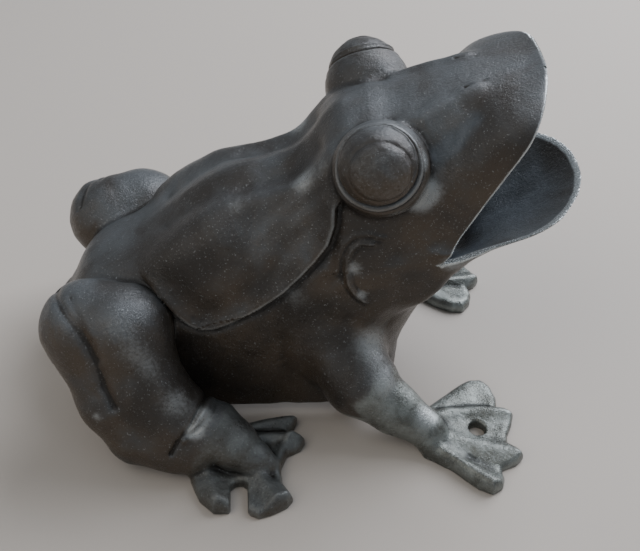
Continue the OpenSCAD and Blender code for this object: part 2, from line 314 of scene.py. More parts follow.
def skull(p):
    """Over the upper lip plane: an oval section whose height falls evenly towards the snout."""
    s, y, n = lip_frame(p, UPPER_RISE)
    crown = np.maximum(CROWN_AT_CORNER - CROWN_FALL * s, 1.0)
    cap = np.maximum(s - SNOUT_FROM, 0)
    reach = np.sqrt(y * y + n * n + cap * cap)
    dome = radial((y / LIP_HALF_WIDTH, n / crown, cap / SNOUT_LENGTH), (1.95, 2.1, 1.95), reach)
    dome = meet(dome, s - (SNOUT_FROM + SNOUT_LENGTH), 1)
    dome = meet(dome, SKULL_REAR - p[0], 8)
    dome = meet(dome, SKULL_UNDER - n, 3)
    return meet(dome, SKULL_LOW - p[2], 8)


def jaw(p, rim=0.0, floor=0.0):
    """Under the lower lip plane: a shallow dish, round in front.

    Its depth is depth * (1 - (y / half width)2 - (cap / cap length)2). The hollow is the same
    dish with its outline in by rim and its depth less by floor.
    """
    s, y, n = lip_frame(p, LOWER_RISE)
    depth = through(s, JAW_DEPTH) - floor
    cap = np.maximum(s - JAW_FROM, 0)
    half = LIP_HALF_WIDTH + 0.3 - rim
    dish = -n - depth * (1 - (y / half) ** 2 - (cap / (JAW_LENGTH - rim)) ** 2)
    slope = 2 * depth * np.hypot(y / half ** 2, cap / (JAW_LENGTH - rim) ** 2)
    dish = meet(dish / np.sqrt(1 + slope * slope), -s, 8)
    return meet(dish, n - JAW_TOP, 1)


def jawless_body(p):
    """Trunk, chest and skull run together, with no skin detail."""
    return join(join(trunk(p), chest(p), CHEST_FILLET), skull(p), SKULL_FILLET)


def plain_body(p):
    """The same with the lower jaw."""
    return join(jawless_body(p), jaw(p), JAW_FILLET)


def gape(p):
    """How far a point is inside the open wedge between the two lip planes."""
    return np.minimum(-lip_frame(p, UPPER_RISE)[2], lip_frame(p, LOWER_RISE)[2])


def from_lips(p):
    """Distance from the nearer lip plane."""
    return np.minimum(np.abs(lip_frame(p, UPPER_RISE)[2]), np.abs(lip_frame(p, LOWER_RISE)[2]))


def cape(p):
    """The cape of skin on the back.

    t is the distance up from its edge, seen from the side. The step eases in over the edge,
    sinks away behind it, carries a rolled rim and has a shallow trough behind the rim.
    """
    def step(q):
        x, y, z = q
        d = line_distance((x, z), CAPE_EDGE)
        above = outline(x, z, CAPE_EDGE + [(-60, 110), (20, 110)]) < 0
        t = np.where(above, d, -d)
        rise = CAPE_STEP * ease((t + 0.5) / 1.1) * np.exp(-np.maximum(t, 0) / 11)
        rim = 0.55 * bell(t - 1.3, 1.3)
        trough = 0.7 * bell(t - 6.0, 3.2)
        under = 0.8 * bell(t + 1.4, 1.3)
        fade = ease((y - 11) / 8) * ease((9 - x) / 6) * ease((x + 52) / 12)
        return (rise + rim - trough - under) * fade

    return close_to(p, (-58, 9, 26), (12, 60, 90), step, away=0)


def ear(p):
    """Two curved rims on the cheek, seen from the side, round a low swelling."""
    def rims(q):
        d = line_distance((q[0], q[2]), EAR_RIM)
        far = line_distance((q[0], q[2]), EAR_OUTER)
        middle = np.sqrt((q[0] - EAR_MIDDLE[0]) ** 2 + (q[2] - EAR_MIDDLE[1]) ** 2)
        swell = 0.5 * ease((EAR_RADIUS + 1 - middle) / 6)
        return 0.85 * bell(d, 0.8) + 0.4 * bell(far, 0.7) + swell

    return close_to(p, (0, 16, 40), (24, 60, 72), rims, away=0)


def skin(p):
    """Height of all skin detail over the plain body."""
    raised = 0
    for line in BACK_LINES:
        raised = raised + ridge(p, *line)
    raised = raised + cape(p) + ear(p)
    for line in SIDE_LINES:
        raised = raised + ridge(p, *line)
    return raised


def eye_frame():
    """Unit vectors out along the eye's axis, and ahead and up across it."""
    axis = np.array(EYE_AXIS) / np.linalg.norm(EYE_AXIS)
    ahead = np.cross((0, 0, 1), axis)
    ahead = -ahead / np.linalg.norm(ahead)
    return axis, ahead, np.cross(axis, ahead)


def eye_polar(p):
    """A point as (distance from the eye's middle, arc from its axis, turn round the axis)."""
    d = [c - m for c, m in zip(p, EYE_MIDDLE)]
    u, a, b = (sum(c * float(v) for c, v in zip(d, vector)) for vector in eye_frame())
    arc = np.arctan2(np.hypot(a, b), u) * EYE_RADIUS
    return np.sqrt(u * u + a * a + b * b), arc, np.arctan2(b, a)


def eye_socket(p):
    """The eye's round mound with its lid.

    Over arc c from the axis the lid is a ridge, with a groove and a thinner fold outside it over
    the upper half. Inside the lid the mound is sunk to take the eyeball.
    """
    def mound(q):
        r, c, turn = eye_polar(q)
        upper = ease(0.5 + 0.9 * np.sin(turn + 0.25))
        lid = (0.18 + 0.55 * upper) * bell(c - LID_ARC, 0.85)
        fold = 0.4 * upper * bell(c - FOLD_ARC, 0.8)
        groove = 0.4 * upper * bell(c - GROOVE_ARC, 0.45)
        sunk = 1.3 * ease((BALL_ARC - c) / 0.9)
        return r - EYE_RADIUS - lid - fold + groove + sunk

    return close_to(p, (-4, 2, 62), (36, 44, 104), mound)


# ---------------------------------------------------------------- legs and feet

# Joints of the rods, each (x, y, z, radius). The shin is the upper lobe of the folded hind leg,
# and the calf is its outer lobe, which lies on the table.
FRONT_LEG = [
    (3, 21, 26, 12), (11.5, 30.4, 16, 10.2), (20.5, 35.6, 10.2, 7.2), (29.5, 39.8, 5.8, 5.8),
]
SHIN = [
    (-64.5, 26.5, 37.2, 13.2), (-54.5, 29.5, 37.4, 12.4), (-50.5, 36, 25, 10.6),
    (-42.5, 41, 16, 9.4), (-33.5, 44, 10.8, 8.6),
]
CALF = [
    (-66, 27.5, 37, 11.6), (-59, 37, 18.5, 9.4), (-52.5, 41, 9.8, 8.8), (-43, 44, 8, 8),
    (-37, 46.5, 7, 7),
]
TARSUS = [(-31, 43.5, 11, 8.8), (-26, 46, 8, 7.2), (-20.5, 48.5, 4.6, 5.2), (-17, 50, 3, 4.0)]

SLANT = (0.618, 0.786)
SHIN_CREST = [(-60, 31, 48), (-57, 35, 46.5), (-50, 42, 40.6), (-42.5, 45, 31), (-34.6, 46.5, 24)]
# Lines down the folded leg, as (x, v) with v = 0.786 z - 0.618 y, square to a slanting cut
CALF_GROOVE = [
    (-72.5, 22), (-70.6, 19), (-68, 15.5), (-65, 11.2), (-62.6, 7), (-60.8, 2.4), (-59.6, -3.2),
    (-57.2, -9),
]
SHIN_GROOVE = [(-67.5, 20.5), (-65.6, 16.5), (-64.3, 13.2), (-62.2, 9), (-60.2, 4.4)]
ANKLE_CREASE = [(-42.5, -23), (-40.6, -19.9), (-36.6, -15.1), (-33, -8.1), (-32, -4)]
ANKLE_ROLL = [(-38.9, -18.8), (-35.5, -15.2), (-32.2, -11), (-30.4, -7.5)]
INSTEP_CREASE = [(-37.5, -17.7), (-34.8, -16.1), (-31.6, -13.5), (-28.6, -9.8)]

# Outlines of the feet on the table, each point (x, y)
FRONT_WEB = [
    (26, 32), (33, 27.5), (40, 21.5), (46, 17.6), (49.8, 17.6), (52.6, 21), (53.6, 25),
    (52.8, 29), (55.4, 30.6), (57.2, 32.8), (56.2, 36), (54.2, 40), (54.0, 43), (56.0, 45.6),
    (57.4, 48.4), (55.2, 50.6), (50.8, 52.6), (50.8, 55.6), (49.6, 59), (46.6, 61), (42.6, 58.8),
    (36, 51.6), (29, 46.6),
]
HIND_WEB = [
    (-28, 33), (-20, 32), (-12.5, 30.4), (-7.2, 31.2), (-8.4, 34), (-10.4, 36.2), (-8.2, 37.6),
    (-5.2, 39.6), (-6.6, 42.4), (-10.6, 45), (-12.4, 50), (-12, 56), (-9.0, 61), (-10.6, 63.2),
    (-15, 65.4), (-18.6, 66.6), (-22, 64.6), (-26.8, 64.4), (-31, 64.4), (-35.2, 60), (-38, 53),
    (-39, 48),
]
# Toes and the valleys between them: (path on the table, height, width)
FRONT_TOES = [
    ([(28, 36), (37, 28.5), (45, 22), (50, 19.5)], 1.0, 3.8),
    ([(29, 37), (38, 32.6), (47, 31.4), (56, 32.6)], 1.5, 2.4),
    ([(36, 42), (45, 45), (56, 48)], 1.2, 2.8),
    ([(29, 43), (37, 50), (46.6, 59)], 1.7, 2.9),
    ([(35, 30.6), (44, 29), (52.5, 29)], -0.5, 1.1),
    ([(42, 49.5), (46.5, 52), (51, 54.4)], -0.9, 2.2),
    ([(49, 39.5), (54.5, 41.6)], -0.4, 3),
]
HIND_TOES = [
    ([(-26, 38), (-17, 34.5), (-9, 32.4)], 1.8, 2.2),
    ([(-24, 41), (-15, 39.5), (-7.4, 39.8)], 1.8, 2.0),
    ([(-9, 39), (-12, 44), (-13.4, 50), (-12.6, 57), (-10.8, 61)], 1.0, 1.5),
    ([(-20, 50), (-17, 56), (-13.6, 62)], 2.4, 3.2),
    ([(-33, 50), (-32, 57), (-30.4, 62)], 2.6, 3.4),
    ([(-22, 36.6), (-15.5, 36.6), (-10, 36.2)], -0.7, 1.2),
    ([(-16.6, 43), (-15, 50), (-13.4, 55)], -0.8, 1.6),
]
WEB_THICKNESS = 3.0
LEAST_THICKNESS = 1.4
ROOT_RISE = 1.6
EDGE_ROUNDING = 0.9
SCREW_RADIUS = 2.35
NOTCH_TOP = (-24.0, 57.5)
NOTCH_HALF_WIDTH = 2.4


def foot(p, web, toes, root, root_reach):
    """A webbed plate: its outline, under a top that carries the toes and rises to the leg."""
    x, y, z = p
    top = np.full(x.shape, WEB_THICKNESS, np.float32)
    for path, height, width in toes:
        top += height * bell(line_distance((x, y), path), width)
    top += ROOT_RISE * bell(np.hypot(x - root[0], y - root[1]), root_reach)
    top = np.maximum(top, LEAST_THICKNESS)
    return meet(outline(x, y, web), (z - top) * 0.85, 2.2)


def front_foot(p):
    """The front foot, with its screw hole, which is drawn out a little sideways."""
    def plate(q):
        body = foot(q, FRONT_WEB, FRONT_TOES, (32, 39), 7)
        hole = np.hypot(q[0] - SCREW_HOLE[0], (q[1] - SCREW_HOLE[1]) / 1.12) - SCREW_RADIUS
        return meet(body, -hole, EDGE_ROUNDING)

    return close_to(p, (18, 8, -6), (66, 72, 18), plate)


def hind_foot(p):
    """The hind foot, with the open screw notch in its outer edge."""
    def plate(q):
        body = foot(q, HIND_WEB, HIND_TOES, (-28, 44), 8)
        body = join(body, limb(q, TARSUS, 2), 1.6)
        dx = np.abs(q[0] - NOTCH_TOP[0])
        dy = np.minimum(q[1] - NOTCH_TOP[1], 0)
        notch = np.hypot(dx, dy) - NOTCH_HALF_WIDTH
        return meet(body, -notch, EDGE_ROUNDING)

    return close_to(p, (-48, 22, -6), (2, 74, 26), plate)


LEG_LINES = [
    (CALF_GROOVE, -0.9, 1.5), (SHIN_GROOVE, -0.55, 1.3), (ANKLE_CREASE, -0.8, 0.75),
    (ANKLE_ROLL, 0.6, 1.1), (INSTEP_CREASE, -0.7, 0.7),
]


def slanted(p, path, height, width):
    """The ridge formula for a cut made slantwise, from above and outside, through (x, v) points."""
    def line(q):
        v = SLANT[1] * q[2] - SLANT[0] * q[1]
        return height * bell(line_distance((q[0], v), path), width) * ease((q[2] - 5) / 5)

    return close_to(p, (-82, 20, 4), (-22, 62, 60), line, away=0)


def shin(p):
    """The upper lobe of the folded hind leg, with its crest."""
    return limb(p, SHIN, 4) - ridge(p, SHIN_CREST, 0.7, 4)


# ---------------------------------------------------------------- the whole casting

# Region names; a pair stands for the left piece, and the right one is its mirror image
MIDDLE_REGIONS = ["back_shell", "belly_shell", "chest_shell", "upper_jaw", "lower_jaw"]
PAIRED_REGIONS = ["eyelid", "ear_disc", "front_leg", "front_foot", "thigh", "shin", "hind_foot"]
REGIONS = ["air"] + MIDDLE_REGIONS + PAIRED_REGIONS
CODE = {name: i for i, name in enumerate(REGIONS)}

WRIST_PLANE = (28.0, 39.0, math.radians(-3))
ANKLE_PLANE = (-31.0, 43.0, math.radians(35))
FOLD_TOP = (2.0, 69.0)
FOLD_LOW = (-33.0, 38.0)
JAW_ROOT = (21.0, 40.5)
EAR_FROM_MIDDLE, EYE_FROM_MIDDLE = 18, 8
EYE_ROOT = -2.0
UNEVENNESS = 0.10
LIP_ROUNDING, HOLLOW_ROUNDING = 0.9, 0.8
LEAST_WALL_SHARE, FULL_WALL_FROM = 0.58, 14
TABLE_GAP = 0.02
# How far from their corner the eye, the legs and the body run together
EYE_FILLET, WRIST_FILLET, LOBE_FILLET, ANKLE_FILLET = 2.2, 3.5, 3.5, 2.0
SHOULDER_FILLET, FLANK_FILLET, RUMP_EXTRA = 5.0, 1.6, 2.4


def unevenness(p):
    """The slight waviness of a sand casting: a few slow sines across each other."""
    x, y, z = p
    bent = x + 3.1 * np.sin(z * 0.19 + y * 0.11)
    return UNEVENNESS * (
        np.sin(bent * 0.43 + 1.9 * np.sin(y * 0.23)) * np.sin(z * 0.37 + 1.4 * np.sin(x * 0.17))
        + 0.5 * np.sin(bent * 0.71 - z * 0.53 + 1.6 * np.sin(y * 0.31 + x * 0.13))
    )


def wall_at(p, wall):
    """The iron's thickness: full in the body, and thinner towards the lips."""
    share = ease(from_lips(p) / FULL_WALL_FROM)
    return wall * (LEAST_WALL_SHARE + (1 - LEAST_WALL_SHARE) * share)


def casting(p, wall):
    """The field of the whole half frog, and the fields that say which region owns a point.

    Head and body, the front leg and the folded hind leg run together. The hollow is the body
    drawn in by the wall, with the mouth's open wedge, and the table cuts the frog off below.
    """
    shell = jawless_body(p)
    detail = skin(p)
    body = join(shell, jaw(p), JAW_FILLET) - detail
    socket = eye_socket(p)
    head = meet(join(body, socket, EYE_FILLET), BELLY_EDGE - p[2], 1.2)
    legs = [limb(p, FRONT_LEG, 3), front_foot(p), limb(p, CALF, 4), shin(p), hind_foot(p)]
    front = join(legs[0], legs[1], WRIST_FILLET)
    folded = join(legs[2], legs[3], LOBE_FILLET)
    for line in LEG_LINES:
        folded -= slanted(p, *line)
    hind = join(folded, legs[4], ANKLE_FILLET)
    rump_fillet = FLANK_FILLET + RUMP_EXTRA * ease((-50 - p[0]) / 12) * ease((p[2] - 36) / 10)
    whole = join(join(head, front, SHOULDER_FILLET), hind, rump_fillet) + unevenness(p)
    throat = shell + np.maximum(-detail, 0) + wall_at(p, wall)
    space = join(throat, jaw(p, JAW_RIM, JAW_FLOOR), HOLLOW_FILLET)
    whole = meet(whole, -space, HOLLOW_ROUNDING)
    whole = meet(whole, gape(p), LIP_ROUNDING)
    whole = meet(whole, -p[2] - TABLE_GAP, 0.5)
    return whole, body, socket, legs


def iron_at(p, wall):
    """The field of the whole frog, whose right half mirrors its left."""
    return casting((p[0], np.abs(p[1]), p[2]), wall)[0]


def past(p, plane):
    """True ahead of an upright plane through (x, y), turned by an angle about +Z."""
    return (p[0] - plane[0]) * math.cos(plane[2]) + (p[1] - plane[1]) * math.sin(plane[2]) > 0


def below_fold(x, z):
    """True under the side fold's line, which parts the back from the belly."""
    slope = (FOLD_TOP[1] - FOLD_LOW[1]) / (FOLD_TOP[0] - FOLD_LOW[0])
    line = np.where(x > FOLD_LOW[0], FOLD_LOW[1] + (x - FOLD_LOW[0]) * slope, FOLD_LOW[1])
    return z < line


def region_of(p, body, socket, legs):
    """The region of each point of iron: legs where they stand out of the body, then eye and ear,
    then the shell's five regions by lines in the side view."""
    x, y, z = p
    code = np.where(below_fold(x, z), CODE["belly_shell"], CODE["back_shell"])
    ahead = x > FOLD_TOP[0]
    code[ahead] = CODE["upper_jaw"]
    low = z < MOUTH_CORNER[1]
    code[ahead & low & (x <= MOUTH_CORNER[0])] = CODE["chest_shell"]
    beside_gape = (UPPER_RISE + LOWER_RISE) / 2
    under = (z - MOUTH_CORNER[1]) < (x - MOUTH_CORNER[0]) * math.tan(beside_gape)
    code[(x > MOUTH_CORNER[0]) & under] = CODE["lower_jaw"]
    code[ahead & low & (x > JAW_ROOT[0]) & (z > JAW_ROOT[1])] = CODE["lower_jaw"]
    code[ahead & (z <= JAW_ROOT[1])] = CODE["chest_shell"]

    in_ear = np.hypot(x - EAR_MIDDLE[0], z - EAR_MIDDLE[1]) < EAR_RADIUS
    code[in_ear & (y > EAR_FROM_MIDDLE)] = CODE["ear_disc"]
    out_of_body = body > 0
    in_lid = (socket < body) & (out_of_body | (socket > EYE_ROOT)) & (y > EYE_FROM_MIDDLE)
    code[in_lid] = CODE["eyelid"]

    front = np.minimum(legs[0], legs[1])
    hind = np.minimum(np.minimum(legs[2], legs[3]), legs[4])
    in_front = out_of_body & (front < body) & (front < hind)
    in_hind = out_of_body & (hind < body) & (hind <= front)
    code[in_front] = CODE["front_leg"]
    code[in_front & past(p, WRIST_PLANE)] = CODE["front_foot"]
    code[in_hind] = CODE["shin"]
    code[in_hind & (legs[2] < legs[3])] = CODE["thigh"]
    code[in_hind & past(p, ANKLE_PLANE)] = CODE["hind_foot"]
    return code.astype(np.uint8)


LOW_CORNER = (-82.0, 0.0, -1.6)
HIGH_CORNER = (79.0, 70.0, 109.0)
BLOCK = 4
BATCH = 400_000
CORNERS = [(i, j, k) for i in (0, 1) for j in (0, 1) for k in (0, 1)]
INNER_PULL = 0.001
BEND_REACH = np.float32(1.6)


def in_batches(p, work):
    """Runs work on slices of the points, so that its arrays stay small."""
    count = p[0].size
    parts = [work(tuple(c[i:i + BATCH] for c in p)) for i in range(0, count, BATCH)]
    return [np.concatenate(column) for column in zip(*parts)]


def lattice(cell, wall):
    """Field and region on a lattice over the left half.

    The field is sampled at the middles of blocks of 4 x 4 x 4 points first, and then at the
    points of the blocks that hold iron or lie within reach of it. The first layer of points is
    half a cell to the right of the middle plane, where the field is its own mirror image.
    """
    size = [int((hi - lo) / (cell * BLOCK)) + 2 for lo, hi in zip(LOW_CORNER, HIGH_CORNER)]
    shape = [n * BLOCK for n in size]
    start = [LOW_CORNER[0], -cell / 2, LOW_CORNER[2]]
    middles = [s + (np.arange(n) + 0.5) * BLOCK * cell - cell / 2 for s, n in zip(start, size)]
    block = np.stack(np.meshgrid(*middles, indexing="ij"), -1).reshape(-1, 3).astype(np.float32)
    rough = in_batches(tuple(block.T), lambda q: (iron_at(q, wall),))[0]
    reach = BLOCK * cell * 0.87 * 1.35 + 0.8
    wanted = np.flatnonzero(rough < reach)
    block_index = np.stack(np.unravel_index(wanted, size), -1)
    steps = np.stack(np.meshgrid(*[np.arange(BLOCK)] * 3, indexing="ij"), -1).reshape(-1, 3)
    index = (block_index[:, None, :] * BLOCK + steps[None]).reshape(-1, 3)
    p = tuple((start[i] + index[:, i] * cell).astype(np.float32) for i in range(3))
    p = (p[0], np.abs(p[1]), p[2])

    def sample(q):
        whole, body, socket, legs = casting(q, wall)
        return whole, np.where(whole < 0, region_of(q, body, socket, legs), 0).astype(np.uint8)

    whole, code = in_batches(p, sample)
    field = np.full(shape, FAR, np.float32)
    region = np.zeros(shape, np.uint8)
    where = tuple(index.T)
    field[where] = whole
    region[where] = code
    return field, region, np.array(start, np.float32)


def slope_of(p, wall, step):
    """Field and gradient from four samples at the corners of a small tetrahedron."""
    total = 0
    gradient = [0, 0, 0]
    for sign in ((1, 1, 1), (1, -1, -1), (-1, 1, -1), (-1, -1, 1)):
        q = tuple(c + s * step for c, s in zip(p, sign))
        value = iron_at(q, wall)
        total = total + value / 4
        gradient = [g + s * value / (4 * step) for g, s in zip(gradient, sign)]
    return [total] + gradient


def bend_of(p, normal, wall, reach):
    """How far the surface falls away to its sides, in mm over the reach: above 0 on a ridge."""
    n = np.stack(normal, -1)
    side = np.cross(n, np.where(np.abs(n[:, 2:]) < 0.9, (0, 0, 1), (1, 0, 0)))
    side /= np.linalg.norm(side, axis=1, keepdims=True)
    other = np.cross(n, side)
    total = 0
    for way in (side, -side, other, -other):
        q = tuple(c + way[:, i].astype(np.float32) * reach for i, c in enumerate(p))
        total = total + iron_at(q, wall) / 4
    return (total,)


def cell_points(field, region, start, cell):
    """A point for each cell of the lattice whose corners differ.

    It lies at the mean of the places where the cell's edges change hands. Where one of them is a
    change to air, the inner changes hardly pull. Gives the cells that have points, the points'
    numbers on the lattice, the points, and whether each touches air.
    """
    span = tuple(n - 1 for n in region.shape)

    def corner(a, i, j, k):
        return a[i:i + span[0], j:j + span[1], k:k + span[2]]

    first = corner(region, 0, 0, 0)
    mixed = np.zeros(span, bool)
    for c in CORNERS[1:]:
        mixed |= corner(region, *c) != first
    cells = np.flatnonzero(mixed)
    number = np.full(mixed.size, -1, np.int32)
    number[cells] = np.arange(len(cells), dtype=np.int32)
    ijk = np.stack(np.unravel_index(cells, span), -1)

    codes = np.stack([corner(region, *c).ravel()[cells] for c in CORNERS])
    values = np.stack([corner(field, *c).ravel()[cells] for c in CORNERS])
    place = np.zeros((len(cells), 3), np.float32)
    weight = np.zeros(len(cells), np.float32)
    edges = [(a, axis) for a in range(8) for axis in range(3) if not CORNERS[a][axis]]
    for a, axis in edges:
        b = a + (4, 2, 1)[axis]
        air = (codes[a] == 0) | (codes[b] == 0)
        gap = values[a] - values[b]
        t = np.where(air & (np.abs(gap) > 1e-6), values[a] / np.where(gap == 0, 1, gap), 0.5)
        t = np.clip(t, 0.02, 0.98)
        pull = np.where(air, 1.0, INNER_PULL).astype(np.float32) * (codes[a] != codes[b])
        for i in range(3):
            place[:, i] += pull * (CORNERS[a][i] + (t if i == axis else 0))
        weight += pull
    place = start + (ijk + place / weight[:, None]) * cell
    return ijk, number.reshape(span), place, (codes == 0).any(0)


def settled(p, cell, wall):
    """Points moved twice down the field's gradient towards its zero, no further than 3/4 of a
    cell, with the surface's normal and bend there."""
    q = p
    for _ in range(2):
        value, gx, gy, gz = slope_of(q, wall, 0.25 * cell)
        size2 = gx * gx + gy * gy + gz * gz + 1e-3
        moved = [c - np.clip(value * g / size2, -cell, cell) for c, g in zip(q, (gx, gy, gz))]
        q = tuple(np.clip(m, c - 0.75 * cell, c + 0.75 * cell) for m, c in zip(moved, p))
    value, gx, gy, gz = slope_of(q, wall, 0.35 * cell)
    size = np.sqrt(gx * gx + gy * gy + gz * gz) + 1e-6
    normal = (gx / size, gy / size, gz / size)
    return q + normal + bend_of(q, normal, wall, BEND_REACH)


def faces_between(region, number):
    """A four-sided face through the points of the four cells round each changing lattice edge.

    A face points from its own region to the other, so each region takes it its own way, and air
    takes none. Gives the faces and the region that owns each.
    """
    span = number.shape
    quads, owners = [], []
    for axis in range(3):
        lo = [slice(None)] * 3
        hi = [slice(None)] * 3
        lo[axis] = slice(0, -1)
        hi[axis] = slice(1, None)
        one, two = region[tuple(lo)], region[tuple(hi)]
        u, v = (axis + 1) % 3, (axis + 2) % 3
        edge = np.stack(np.nonzero(one != two), -1)
        edge = edge[(edge[:, u] > 0) & (edge[:, v] > 0)]
        edge = edge[(edge[:, u] < span[u]) & (edge[:, v] < span[v])]
        ring = []
        for du, dv in ((-1, -1), (0, -1), (0, 0), (-1, 0)):
            at = edge.copy()
            at[:, u] += du
            at[:, v] += dv
            ring.append(number[tuple(at.T)])
        ring = np.stack(ring, -1)
        first, second = one[tuple(edge.T)], two[tuple(edge.T)]
        quads += [ring[first > 0], ring[second > 0][:, ::-1]]
        owners += [first[first > 0], second[second > 0]]
    return np.concatenate(quads), np.concatenate(owners)


def net(cell, wall):
    """The surfaces between air and iron and between neighbouring regions, as one set of faces."""
    field, region, start = lattice(cell, wall)
    region[:, 0] = region[:, 1]
    ijk, number, place, outer = cell_points(field, region, start, cell)
    p = tuple(place[outer, i] for i in range(3))
    x, y, z, nx, ny, nz, curve = in_batches(p, lambda q: settled(q, cell, wall))
    place[outer] = np.stack((x, y, z), -1)
    normal = np.zeros_like(place)
    normal[outer] = np.stack((nx, ny, nz), -1)
    bend = np.zeros(len(place), np.float32)
    bend[outer] = curve
    middle = ijk[:, 1] == 0
    place[middle, 1] = 0
    normal[middle, 1] = 0
    quads, owners = faces_between(region, number)
    return {
        "place": place, "normal": normal, "bend": bend, "middle": middle,
        "outer": outer, "quads": quads, "owners": owners,
    }


# ---------------------------------------------------------------- finish masks

# Places that hands and discs have rubbed, and painted highlights: the four along the shin's crest and
# the one at the wrist. Each is (x, y, z, radius, strength)
RUBBED_AND_HIGHLIT_SPOTS = [
    (28, 26.3, 79, 3.8, 1.1), (25.5, 27, 76, 3.2, 0.9), (27.5, 27, 89, 3.4, 0.9),
    (20, 32, 75, 3.6, 0.7), (-4, 15, 76.4, 4.2, 0.9), (3, 15.5, 80.5, 3.5, 0.6),
    (-22, 15, 68, 3.2, 0.5), (-35.5, 50, 18, 2.6, 1.2), (-33, 46.5, 20.5, 2.6, 1.0),
    (-54, 38, 47, 6, 0.35), (-50, 43, 41, 5, 0.4), (-45.5, 44, 36, 5, 0.45),
    (-40, 47, 26, 5, 0.6), (-62, 45.5, 21, 1.6, 1.0), (35, 28, 58.2, 3.2, 1.2),
    (38, 27.5, 59.5, 2.2, 0.9), (9, 29.2, 57, 2.4, 0.8), (11, 30, 48.5, 2.0, 0.8),
    (14.5, 29.5, 29.5, 6.5, 0.9), (17.9, 37, 21.5, 5, 0.9), (30, 41.2, 11.7, 4, 1.2),
    (-7, 27, 47, 5, 0.45), (-26, 26, 38, 5, 0.4), (16, 20, 97, 5, 0.4),
]
LEG_BARE = (16.5, 31.5, 15.5)
HIND_BARE = 0.52
RIM_WEAR = 0.9


def rubbed_and_highlit_at(p):
    """Sum of strength times exp(-(distance / radius)2) over the rubbed places and the painted highlights.
    """
    total = 0
    for x, y, z, radius, strength in RUBBED_AND_HIGHLIT_SPOTS:
        d2 = (p[0] - x) ** 2 + (p[1] - y) ** 2 + (p[2] - z) ** 2
        total = total + strength * np.exp(-d2 / radius ** 2)
    return np.clip(total, 0, 1)


def bare_at(p, codes):
    """One on the feet and the lower half of the front leg, where the dark finish is gone."""
    axis = np.array(FRONT_LEG[-1][:3]) - np.array(LEG_BARE)
    along = sum((c - m) * float(a) for c, m, a in zip(p, LEG_BARE, axis)) / float(np.linalg.norm(axis))
    side = 2.2 * np.sin(p[1] * 0.9 + p[2] * 0.5)
    leg = np.isin(codes, (CODE["front_leg"], CODE["front_foot"]))
    bare = np.where(leg, ease((along + side) / 9 + 0.5), 0)
    heel = ((p[0] + 33) * 0.82 + (p[1] - 46) * 0.35 - (p[2] - 15) * 0.35) / 6
    hind = np.isin(codes, (CODE["shin"], CODE["thigh"], CODE["hind_foot"]))
    return np.where(hind, HIND_BARE * ease(heel + 0.4), bare)


def rim_at(p):
    """One on the lips' edges, fading out a little way from the lip planes."""
    corner = lip_frame(p, UPPER_RISE)[0]
    inside = ease((gape(p) + 4) / 2)
    near = bell(from_lips(p), RIM_WEAR)
    return near * inside * ease((corner + 3) / 3)


def mouth_at(p, wall):
    """One on the surfaces inside the mouth and the hollow."""
    return ease((-plain_body(p) - 0.55 * wall_at(p, wall)) / 1.2)


# ---------------------------------------------------------------- meshes

# The rubbed mask also carries painted highlights: along the shin's crest, at the wrist and on the eyeball
MASKS = ("bend", "rubbed", "bare", "rim", "inside")
casting_net = {}


def finished_net(settings):
    """The net with its masks, worked out once for all the operators."""
    if not casting_net:
        cell = settings.cell
        wall = np.float32(settings.wall)
        made = net(cell / MM, wall / MM)
        p = tuple(made["place"][:, i] for i in range(3))
        codes = np.zeros(len(made["place"]), np.uint8)
        codes[made["quads"].ravel()] = np.repeat(made["owners"], 4)
        made["rubbed"] = rubbed_and_highlit_at(p)
        made["bare"] = bare_at(p, codes)
        made["rim"] = rim_at(p)
        made["inside"] = mouth_at(p, wall / MM)
        casting_net.update(made)
    return casting_net


def new_mesh(name, place, quads, masks, normals, smooth=True):
    """A mesh object at the origin, from points in millimetres, faces, point masks and normals."""
    mesh = bpy.data.meshes.new(name)
    corners = quads.shape[1]
    mesh.vertices.add(len(place))
    mesh.vertices.foreach_set("co", (place * MM).astype(np.float32).ravel())
    mesh.loops.add(quads.size)
    mesh.loops.foreach_set("vertex_index", quads.astype(np.int32).ravel())
    mesh.polygons.add(len(quads))
    mesh.polygons.foreach_set("loop_start", np.arange(0, quads.size, corners, dtype=np.int32))
    mesh.update(calc_edges=True)
    mesh.polygons.foreach_set("use_smooth", np.full(len(quads), smooth))
    for mask, values in masks.items():
        layer = mesh.attributes.new(mask, "FLOAT", "POINT")
        layer.data.foreach_set("value", values.astype(np.float32))
    if mesh.validate():
        raise RuntimeError(f"{name}: the mesh had faults")
    if normals is not None:
        mesh.normals_split_custom_set_from_vertices(normals.astype(np.float32))
    piece = bpy.data.objects.new(name, mesh)
    bpy.context.scene.collection.objects.link(piece)
    return piece


def split_quads(place, quads, outer):
    """Two triangles for each four-sided face, cut across its shorter diagonal.

    A face inside the iron that has one corner off the surface is cut through that corner
    instead, so that no part of it stands out of the surface.
    """
    across = np.linalg.norm(place[quads[:, 0]] - place[quads[:, 2]], axis=1)
    other = np.linalg.norm(place[quads[:, 1]] - place[quads[:, 3]], axis=1)
    first = across < other
    buried = ~outer[quads]
    single = buried.sum(1) == 1
    first[single] = buried[single][:, [0, 2]].any(1)
    one = np.where(first[:, None], quads[:, [0, 1, 2]], quads[:, [1, 2, 3]])
    two = np.where(first[:, None], quads[:, [0, 2, 3]], quads[:, [1, 3, 0]])
    return np.concatenate([one, two])


